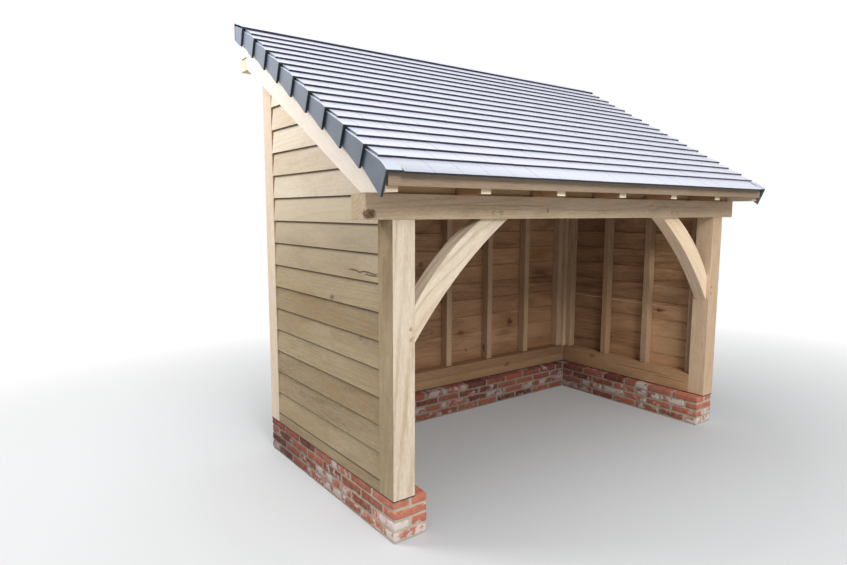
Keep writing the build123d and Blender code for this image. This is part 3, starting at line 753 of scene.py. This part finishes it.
# roof boards and battens
DECK_BOARDS = 14
m = Mesh("roof_boards")
for i in range(DECK_BOARDS):
    y0 = -TAIL + (ROOF_END + TAIL) * i / DECK_BOARDS
    y1 = -TAIL + (ROOF_END + TAIL) * (i + 1) / DECK_BOARDS - (0.002 if i < DECK_BOARDS - 1 else 0.0)
    pts = [(y0, level(y0, RAFTER_D)), (y1, level(y1, RAFTER_D)), (y1, level(y1, DECK_N)),
           (y0, level(y0, DECK_N))]
    grain = grain_along("x", 600 + i, (0.1 - y0, 0.06 - level(y0, 0.14)))
    prism(m, pts, "x", -ROOF_X, ROOF_X, 0.001, grain, random.Random(600 + i).random())
m.build([ROOF_WOOD], "roof_board", "roof_deck")
BATTEN_UP, BATTEN_W = 0.064, 0.038
m = Mesh("tile_battens")
for j in range(COURSES):
    s = tail(j) + BATTEN_UP
    pts = [roof_point(a, b) for a, b in (
        (s, DECK_N), (s + BATTEN_W, DECK_N), (s + BATTEN_W, BATTEN_N), (s, BATTEN_N))]
    grain = grain_along("x", 640 + j, (-pts[0][0], -pts[0][1]))
    prism(m, pts, "x", -ROOF_X, ROOF_X, 0.001, grain, random.Random(640 + j).random())
m.build([ROOF_WOOD], "roof_board", "battens")
RIDGE_PITCH = math.radians(20)
lo, hi = node_box("top_batten")
m = Mesh("ridge_batten")
pts = [(lo[1], level(lo[1], DECK_N)), (hi[1], level(hi[1], DECK_N)), (hi[1], hi[2]),
       (lo[1], hi[2] - (hi[1] - lo[1]) * math.tan(RIDGE_PITCH))]
prism(m, pts, "x", -ROOF_X, ROOF_X, 0.001, grain_along("x", 660, (-lo[1], -2.7)), 0.4)
m.build([ROOF_WOOD], "roof_board", "top_batten")


def arc(p, q, bulge, count):
    """Points from p to q, bowed to the left of the chord by bulge."""
    (x0, z0), (x1, z1) = p, q
    length = math.hypot(x1 - x0, z1 - z0)
    nx, nz = -(z1 - z0) / length, (x1 - x0) / length
    radius = (length * length / 4 + bulge * bulge) / (2 * abs(bulge))
    reach = math.copysign(radius - abs(bulge), bulge)
    ox, oz = (x0 + x1) / 2 - nx * reach, (z0 + z1) / 2 - nz * reach
    a0, a1 = math.atan2(z0 - oz, x0 - ox), math.atan2(z1 - oz, x1 - ox)
    if a1 - a0 > math.pi:
        a1 -= 2 * math.pi
    if a0 - a1 > math.pi:
        a1 += 2 * math.pi
    angles = [a0 + (a1 - a0) * i / count for i in range(count + 1)]
    return [(ox + radius * math.cos(a), oz + radius * math.sin(a)) for a in angles]


# curved braces: how far each end reaches along post and beam, and how much the two edges are bowed
FOOT_LOW, FOOT_HIGH = 0.635, 0.450
HEAD_FAR, HEAD_NEAR = 0.643, 0.450
BOW_OUTSIDE, BOW_INSIDE = 0.034, 0.040
BRACE_Y = (0.024, 0.114)
ARC_STEPS = 24
for side, sx in (("left", 1), ("right", -1)):
    edge = arc((-INNER, BEAM_Z - FOOT_HIGH), (-INNER + HEAD_NEAR, BEAM_Z), BOW_OUTSIDE, ARC_STEPS)
    edge += arc((-INNER + HEAD_FAR, BEAM_Z), (-INNER, BEAM_Z - FOOT_LOW), -BOW_INSIDE, ARC_STEPS)
    off = random.Random(700 + len(side)).uniform(0, 20)

    def brace_grain(p, sx=sx, off=off):
        x, z = sx * p[0] + INNER, p[2] - BEAM_Z + 0.5
        u, v = (x + z) * math.sqrt(0.5), (z - x) * math.sqrt(0.5)
        return (u + off, v + 0.30 * (u - 0.25) ** 2 + 0.08, p[1] + 0.05)

    m = Mesh("brace_%s_timber" % side)
    prism(m, [(sx * x, z) for x, z in edge], "y", *BRACE_Y, 0.003, brace_grain, 0.35)
    m.build([BRACES if side == "left" else RIGHT_BRACE_LIT], "oak", "brace_" + side)

# oak pegs through the joints of braces, posts and beam: ten-sided, with an eased end
m = Mesh("oak_pegs")
for i, (x, z) in enumerate(PEGS):
    rnd = random.Random(720 + i)
    turn = rnd.uniform(0, 0.7)
    tip = rnd.uniform(0.0035, 0.0060)
    rings = []
    for y, r in ((0.01, 0.0088), (-tip * 0.7, 0.0085), (-tip, 0.0064)):
        angles = [turn + k * math.pi / 5 for k in range(10)]
        rings.append([(x + r * math.cos(a), y + 0.06 * r * math.sin(a), z + r * math.sin(a)) for a in angles])
    m.take(loft(rings, 0.0006, 25, 1), grain_along("y", 720 + i, (-z, -x)), rnd.random())
m.build([PEG], "oak")

# feather-edge boards
LAP = 0.026
T_LOW, T_TOP = 0.0145, 0.008


def board_outline(z0, z1):
    """Section of one board: distance inwards from the wall's outer plane, and height."""
    full = BOARD + LAP

    def outer(z):
        return (CLAD_T - T_TOP) * (z - z0) / full

    def inner(z):
        return T_LOW + (CLAD_T - T_LOW) * (z - z0) / full
    return [(outer(z0), z0), (inner(z0), z0), (inner(z1), z1), (outer(z1), z1)]


def lay_boards(m, side, spans, seed):
    """Boards of one wall: side is -1 left, 1 right, 0 back; spans are (row, start, end, lowest, highest)."""
    inside = facing(0, -side * 0.5) if side else facing(1, -0.5)
    for i, a, b, low, high in spans:
        z0 = SILL_TOP + i * BOARD
        z1 = min(z0 + BOARD + LAP, high)
        if z1 - max(z0, low) < 0.01:
            continue
        rnd = random.Random(seed + i)
        pts = board_outline(z0 - rnd.uniform(0.0, 0.0015), z1)
        if low > z0:
            t = (low - z0) / (z1 - z0)
            pts = [tuple(p + (q - p) * t for p, q in zip(pts[0], pts[3])),
                   tuple(p + (q - p) * t for p, q in zip(pts[1], pts[2]))] + pts[2:]
        heart = (rnd.uniform(0.05, 0.16) * rnd.choice((-1, 1)), rnd.uniform(-0.12, 0.05))
        if side == 0:
            grain = grain_along("x", seed + i * 3, (heart[0] - DEPTH, heart[1] - z0))
            prism(m, [(DEPTH - o, z) for o, z in pts], "x", a, b, 0.0015, grain, rnd.random(), inside)
        else:
            grain = grain_along("y", seed + i * 3, (heart[1] - z0, heart[0] - side * HALF))
            prism(m, [(side * (HALF - o), z) for o, z in pts], "y", a, b, 0.0015, grain, rnd.random(), inside)


def cut_by_slope(obj, n):
    """Trims a piece to the roof plane n above the rafter underside."""
    bm = bmesh.new()
    bm.from_mesh(obj.data)
    bmesh.ops.bisect_plane(bm, geom=bm.verts[:] + bm.edges[:] + bm.faces[:], clear_outer=True,
                           plane_co=(0, FRONT, level(0.0, n)), plane_no=(0, -SIN, COS))
    bmesh.ops.holes_fill(bm, edges=[e for e in bm.edges if e.is_boundary])
    bm.to_mesh(obj.data)
    bm.free()


for side, s in (("left", -1), ("right", 1)):
    m = Mesh("boards_" + side)
    lay_boards(m, s, [(i, POST, REAR_Y, 0.0, BEAM_TOP) for i in range(SIDE_ROWS)], 800 + 50 * s)
    m.build([CLAD, SIDE_LINING], "cladding", "cladding_" + side)
    spans = []
    for i in range(SIDE_ROWS, SIDE_ROWS + 8):
        z = SILL_TOP + i * BOARD
        start = max(BLOCK_BACK, (z - level(0.0, RAFTER_D)) / TAN)
        if z > REAR_TOP - 0.002:
            spans.append((i, start, ROOF_END, 0.0, 9.0))
        else:
            spans.append((i, start, REAR_Y, 0.0, 9.0))
            if z + BOARD + LAP > REAR_TOP:
                spans.append((i, REAR_Y + 0.0005, ROOF_END, REAR_TOP + 0.0005, 9.0))
    m = Mesh("gable_boards_" + side)
    lay_boards(m, s, spans, 900 + 50 * s)
    cut_by_slope(m.build([GABLE_LIT, SIDE_LINING], "cladding", "gable_" + side), RAFTER_D)
m = Mesh("boards_back")
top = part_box("rear_beam")[0].z
lay_boards(m, 0, [(i, -INNER, INNER, 0.0, top) for i in range(16)], 1000)
m.build([CLAD, LINING], "cladding", "cladding_back")

# brick plinth
JOINT = 0.0105
COURSE = PLINTH_H / 4
BRICK_H = COURSE - JOINT
WIDE = 0.099


def brick(mesh, box, seed, tone=None):
    """One handmade brick with rounded, uneven arrises."""
    rnd = random.Random(seed)
    size = Vector([high - low for low, high in zip(*box)])
    mid = Vector([(low + high) / 2 for low, high in zip(*box)])
    bm = bmesh.new()
    bmesh.ops.create_cube(bm, size=1.0)
    for v in bm.verts:
        v.co = v.co * size
    bmesh.ops.bevel(bm, geom=bm.edges[:], offset=0.0085, segments=3, profile=0.5, affect="EDGES")
    along = 0 if size.x > size.y else 1
    for k in range(1, 8):
        o, nrm = [0, 0, 0], [0, 0, 0]
        o[along] = size[along] * (k / 8 - 0.5)
        nrm[along] = 1
        bmesh.ops.bisect_plane(bm, geom=bm.verts[:] + bm.edges[:] + bm.faces[:], plane_co=o, plane_no=nrm)
    off = Vector([rnd.uniform(0, 50) for _ in range(3)])
    twist = Matrix.Rotation(rnd.uniform(-0.008, 0.008), 3, "Z")
    twist = twist @ Matrix.Rotation(rnd.uniform(-0.010, 0.010), 3, "XY"[along])
    limit = size / 2
    for v in bm.verts:
        d = noise.noise_vector(v.co * 24 + off) * 0.0044 + noise.noise_vector(v.co * 80 + off) * 0.0014
        p = twist @ (v.co * 0.978) + d
        v.co = mid + Vector([max(-limit[k], min(limit[k], p[k])) for k in range(3)])
    mesh.take(bm, lambda p: (p[0] - mid.x + off.x, p[1] - mid.y + off.y, p[2] - mid.z + off.z),
              rnd.random() if tone is None else tone, smooth=True)


def run(start, end, pitch, rnd):
    """Bricks along a wall with slightly uneven lengths."""
    at = start
    while at < end - 0.02:
        stop = at + pitch - JOINT + rnd.uniform(-0.004, 0.004)
        if end - stop < 0.065:
            stop = end
        yield at, min(stop, end)
        at = stop + JOINT


def slab(mesh, x, y, z, bevel):
    """Block between two values of x, y and z, with its place as the grain coordinate."""
    outline = [(y[0], z[0]), (y[1], z[0]), (y[1], z[1]), (y[0], z[1])]
    prism(mesh, outline, "x", x[0], x[1], bevel, tuple, 0.5)


# Tones that the bricks of the two front ends have in each course: outer or header, and inner.
FRONT_TONES = ((0.462, 0.462), (0.495, 0.55), (0.55, 0.55), (0.55, 0.56))
SIDE_PITCH = (DEPTH + JOINT) / 7
BACK_PITCH, BACK_SHIFT = 0.2205, 0.112
bricks = Mesh("plinth_bricks")
seed = 2000
for c in range(4):
    z1 = (c + 1) * COURSE - (0.0042 if c == 3 else 0.0008)
    z0 = z1 - BRICK_H
    headers = c % 2 == 1
    rnd = random.Random(2500 + c)
    for s in (-1, 1):
        for outer in (True, False):
            xa = HALF - WIDE if outer else HALF - PLINTH_T
            end = DEPTH if outer else DEPTH - PLINTH_T
            start = 0.0 if headers else WIDE + JOINT
            for y0, y1 in run(start, end, SIDE_PITCH, rnd):
                seed += 1
                x0, x1 = sorted((s * xa, s * (xa + WIDE)))
                tone = None if y0 > 0.0 else FRONT_TONES[c][0 if outer else 1]
                brick(bricks, ((x0, y0, z0), (x1, y1, z1)), seed, tone)
        if not headers:
            seed += 1
            x0, x1 = sorted((s * (HALF - PLINTH_T), s * HALF))
            brick(bricks, ((x0, 0.0, z0), (x1, WIDE, z1)), seed, FRONT_TONES[c][0])
    for ya, reach in ((DEPTH - PLINTH_T, HALF - PLINTH_T - JOINT * 0.5), (DEPTH - WIDE, HALF - WIDE - JOINT)):
        shift = BACK_SHIFT if headers else 0.0
        for x0, x1 in run(-reach - shift, reach, BACK_PITCH, rnd):
            x0 = max(x0, -reach)
            if x1 - x0 > 0.03:
                seed += 1
                brick(bricks, ((x0, ya, z0), (x1, ya + WIDE, z1)), seed)
bricks.build([BRICK], "brick", "plinth_left", "plinth_right", "plinth_back")

# mortar, set back from the faces of the bricks
RECESS = 0.0050
mortar = Mesh("plinth_mortar")
height = (0.0, PLINTH_H - 0.0080)
for s in (-1, 1):
    across = sorted((s * (HALF - PLINTH_T + RECESS), s * (HALF - RECESS)))
    slab(mortar, across, (RECESS, DEPTH - RECESS), height, 0.002)
slab(mortar, (-HALF + PLINTH_T - 0.01, HALF - PLINTH_T + 0.01), (DEPTH - PLINTH_T + RECESS, DEPTH - RECESS),
     height, 0.002)
mortar.build([MORTAR], "brick")

# black damp course between brickwork and timber
m = Mesh("damp_course")
height = (PLINTH_H - 0.0040, PLINTH_H - 0.0003)
for s in (-1, 1):
    slab(m, sorted((s * (INNER - 0.001), s * HALF)), (0.0, DEPTH), height, 0.0004)
slab(m, (0.001 - INNER, INNER - 0.001), (REAR_Y - 0.001, DEPTH), height, 0.0004)
m.build([TILE_EDGE], "brick")

# Roof tiles. A verge tile lies from LEG_X out to FLAP_X, and every second course ends under it at END_X.
TILE_W, TILE_L = 0.165, 0.222
FLAP_X = HALF + 0.178
LEG_X = FLAP_X - 0.086
END_X = FLAP_X - 0.022
TILE_GAP = 0.0002
CAMBER = 0.0028
FLAP_N = 0.106


def cut_face(normal):
    """Tails and front ends are cut faces, darker than the tile's face: partly their own colour, partly
    painted shade.
    """
    return int(-normal.y * COS - normal.z * SIN > 0.6)


def camber(t):
    """Height of a tile's upper face over its plane, with t from 0 at the tail to 1 at the head."""
    return CAMBER * (1 - (1 - min(t / 0.45, 1.0)) ** 2) - CAMBER


def own_place(rnd):
    """Grain coordinate of one tile: its place, moved at random."""
    o = [rnd.uniform(0, 30) for _ in range(3)]
    return lambda p: (p[0] + o[0], p[1] + o[1], p[2] + o[2])


def tile(mesh, x0, x1, s0, n0, length, seed, lean, pick=cut_face):
    """Plain tile with its tail at s0 and its plane at n0 there, cambered along its length."""
    rnd = random.Random(seed)
    dn = rnd.uniform(-0.0003, 0.0)
    ds = rnd.uniform(-0.0010, 0.0010)
    tilt = rnd.uniform(-0.0003, 0.0003)
    rings = []
    for s in (0.0, 0.012, 0.03, 0.06, 0.10, length):
        top = n0 - lean * s + camber(s / length) + dn
        low = n0 - lean * s - TILE_T
        rings.append([(x, *roof_point(s0 + s + ds, n + tilt * k))
                      for x, k, n in ((x0, -1, low), (x1, 1, low), (x1, 1, top), (x0, -1, top))])
    mesh.take(loft(rings, 0.0005, 40, 1), own_place(rnd), rnd.random(), pick=pick)


tiles = Mesh("plain_tiles")
for j in range(COURSES):
    if j % 2 == 0:
        edges = [-LEG_X + TILE_GAP]
        step = edges[-1] + TILE_W
    else:
        edges = [-END_X]
        step = -LEG_X + TILE_W / 2
    while step < -edges[0] - 0.02:
        edges.append(step)
        step += TILE_W
    edges.append(-edges[0])
    for k, (a, b) in enumerate(zip(edges, edges[1:])):
        seed = 3000 + j * 40 + k
        a, b = a + TILE_GAP, b - TILE_GAP
        if j == 0:
            tile(tiles, a, b, EAVES_S, EAVES_N, tail(1) - EAVES_S + 0.04, seed, EAVES_LEAN,
                 lambda normal: 2 * cut_face(normal))
        else:
            length = TILE_L if j < COURSES - 1 else GAUGE + 0.018
            tile(tiles, a, b, tail(j), TOP, length, seed, LEAN)
tiles.build([TILE, TILE_EDGE, DARK_EDGE], "roof_tile", "tile_field")


def eaves_face(normal):
    """Faces of the lowest verge tile: cut faces, and the top, which curves down and has its own painted
    sheen.
    """
    return 1 if cut_face(normal) else 2 * int(normal.z > 0.35)


for side, sx in (("left", -1), ("right", 1)):
    m = Mesh("verge_tiles_%s_dressed" % side)
    leg = LEG_X + 0.0006
    for j in range(0, COURSES, 2):
        rnd = random.Random(4000 + j + (100 if sx > 0 else 0))
        head = tail(j + 2) + 0.010
        front = EAVES_S + 0.013 if j == 0 else tail(j)
        low_front = 0.084 if j == 0 else FLAP_N
        steps = [0.011 * k for k in range(9)] + [0.13, head - front]
        jit = rnd.uniform(-0.0010, 0.0010)
        skew = rnd.uniform(-0.0012, 0.0012)
        taper = 0.014 * (head - front) / (tail(j + 2) - front)
        rings = []
        for s in steps:
            f = s / (head - front)
            top = TOP - LEAN * (front + s - tail(j))
            if j == 0:
                top -= 0.018 * max(0.0, 1 - s / 0.088) ** 2
            else:
                top += camber(f)
            out = FLAP_X - taper * f - 0.0004
            inner = out - TILE_T + 0.004 * f
            low = low_front + (0.119 - low_front) * f + skew
            ring = []
            bed = top - TILE_T + 0.0006
            for x, n in ((out, low), (out, top), (leg, top), (leg, bed), (inner, bed), (inner, low)):
                at = front + s + jit - (top - n) * LEAN
                ring.append((sx * x, *roof_point(at, n)))
            rings.append(ring)
        m.take(loft(rings, 0.0014, 40), own_place(rnd), rnd.random(), pick=eaves_face if j == 0 else cut_face)
    m.build([TILE, DARK_EDGE, EAVES_TILE], "roof_tile", "verge_tiles_" + side)

# ridge pieces: a top, a leg down the back, and hanging flaps at the two ends
RIDGE_LEG, RIDGE_COUNT, RIDGE_GAP = 0.104, 10, 0.0002
lo, hi = node_box("ridge")
fall = math.tan(RIDGE_PITCH)
drop = TILE_T / math.cos(RIDGE_PITCH)
front_z = hi[2] - fall * (hi[1] - lo[1])
inner_y = hi[1] - TILE_T
section = [(lo[1], front_z), (hi[1], hi[2]), (hi[1], hi[2] - RIDGE_LEG), (inner_y, hi[2] - RIDGE_LEG),
           (inner_y, hi[2] - drop - TILE_T * fall),
           (lo[1] + TILE_T * fall, front_z - drop + TILE_T * fall * fall)]
low_y, low_z = roof_point(tail(COURSES) - (TOP - FLAP_N) * LEAN, FLAP_N)
flap = [(lo[1], front_z), (hi[1], hi[2]), (hi[1], low_z + (hi[1] - low_y) * TAN), (low_y, low_z)]
m = Mesh("ridge_tiles")
for i in range(RIDGE_COUNT):
    last = i == RIDGE_COUNT - 1
    x0 = lo[0] + (hi[0] - lo[0]) * i / RIDGE_COUNT + (RIDGE_GAP if i else 0.0)
    x1 = lo[0] + (hi[0] - lo[0]) * (i + 1) / RIDGE_COUNT - (0.0 if last else RIDGE_GAP)
    rnd = random.Random(5000 + i)
    grain = own_place(rnd)
    prism(m, section, "x", x0, x1, 0.0015, grain, rnd.random(), cut_face)
    if i == 0:
        prism(m, flap, "x", x0, x0 + TILE_T, 0.0015, grain, 0.5, cut_face)
    if last:
        prism(m, flap, "x", x1 - TILE_T, x1, 0.0015, grain, 0.5, cut_face)
m.build([TILE, TILE_EDGE], "roof_tile", "ridge")

# floor: in the camera's eyes it fades out into white round the shelter
floor_mesh = bpy.data.meshes.new("floor")
floor_mesh.from_pydata([(-40, -40, 0), (40, -40, 0), (40, 40, 0), (-40, 40, 0)], [], [(0, 1, 2, 3)])
floor = bpy.data.objects.new("floor", floor_mesh)
scene.collection.objects.link(floor)
mat, g, bsdf = material("pale_floor")
surface(g, bsdf, (0.56, 0.57, 0.58, 1), 0.9, 0.1)
glow = g.node("ShaderNodeEmission")
glow.inputs["Color"].default_value = (1, 1, 1, 1)
away = g.vmath("LENGTH", g.vmath("MULTIPLY", g.position(), (0.8, 1.0, 0.0)))
fade = g.range(away, 1.7, 4.6, 0.0, 1.0)
fade = g.mul(fade, g.node("ShaderNodeLightPath").outputs["Is Camera Ray"])
blend = g.node("ShaderNodeMixShader")
g.put(blend.inputs[0], fade)
g.put(blend.inputs[1], bsdf.outputs[0])
g.put(blend.inputs[2], glow.outputs[0])
g.put(g.nt.nodes["Material Output"].inputs["Surface"], blend.outputs[0])
floor_mesh.materials.append(mat)

# world: white where it is seen, weaker as a light
world = bpy.data.worlds.new("studio")
scene.world = world
world.use_nodes = True
g = Graph(world.node_tree)
backdrop = world.node_tree.nodes["Background"]
path = g.node("ShaderNodeLightPath")
seen = g.math("MAXIMUM", path.outputs["Is Camera Ray"], path.outputs["Is Glossy Ray"])
seen = g.math("MAXIMUM", seen, path.outputs["Is Transmission Ray"])
backdrop.inputs["Color"].default_value = (1, 1, 1, 1)
g.put(backdrop.inputs["Strength"], g.add(0.42, g.mul(seen, 0.58)))


def area(name, location, target, size, power):
    data = bpy.data.lights.new(name, "AREA")
    data.shape = "RECTANGLE"
    data.size, data.size_y = size
    data.energy = power
    obj = bpy.data.objects.new(name, data)
    obj.location = location
    obj.rotation_euler = (Vector(target) - Vector(location)).to_track_quat("-Z", "Y").to_euler()
    scene.collection.objects.link(obj)


area("key", (-2.3, -7.1, 6.2), (0, 0, 1.0), (3, 3), 520)
area("sky", (-0.5, -1.0, 9.0), (0, 0, 0), (9, 9), 420)
area("side", (-3.7, 1.7, 3.9), (-1.52, 1.0, 2.0), (1.5, 1.5), 110)

# Camera solved from the photograph. The eye's place is taken from the left post's outer front corner.
FOCAL, PHOTO_W, SENSOR = 592.804, 847.0, 36.0
EYE = (-1.537988, -2.328845, 1.657092)
YAW, PITCH, ROLL = 0.635799, -0.118746, 0.0021616
cam_data = bpy.data.cameras.new("camera")
cam_data.sensor_width = SENSOR
cam_data.lens = FOCAL * SENSOR / PHOTO_W
cam_data.clip_end = 200
cam = bpy.data.objects.new("camera", cam_data)
forward = Vector((math.sin(YAW) * math.cos(PITCH), math.cos(YAW) * math.cos(PITCH), math.sin(PITCH)))
right = forward.cross(Vector((0, 0, 1))).normalized()
up = right.cross(forward)
level_x = right * math.cos(ROLL) + up * math.sin(ROLL)
level_y = up * math.cos(ROLL) - right * math.sin(ROLL)
turn = Matrix((level_x, level_y, -forward)).transposed()
cam.matrix_world = Matrix.Translation((EYE[0] + LEFT, EYE[1] + FRONT, EYE[2])) @ turn.to_4x4()
scene.collection.objects.link(cam)
scene.camera = cam
scene.view_settings.view_transform = "Standard"
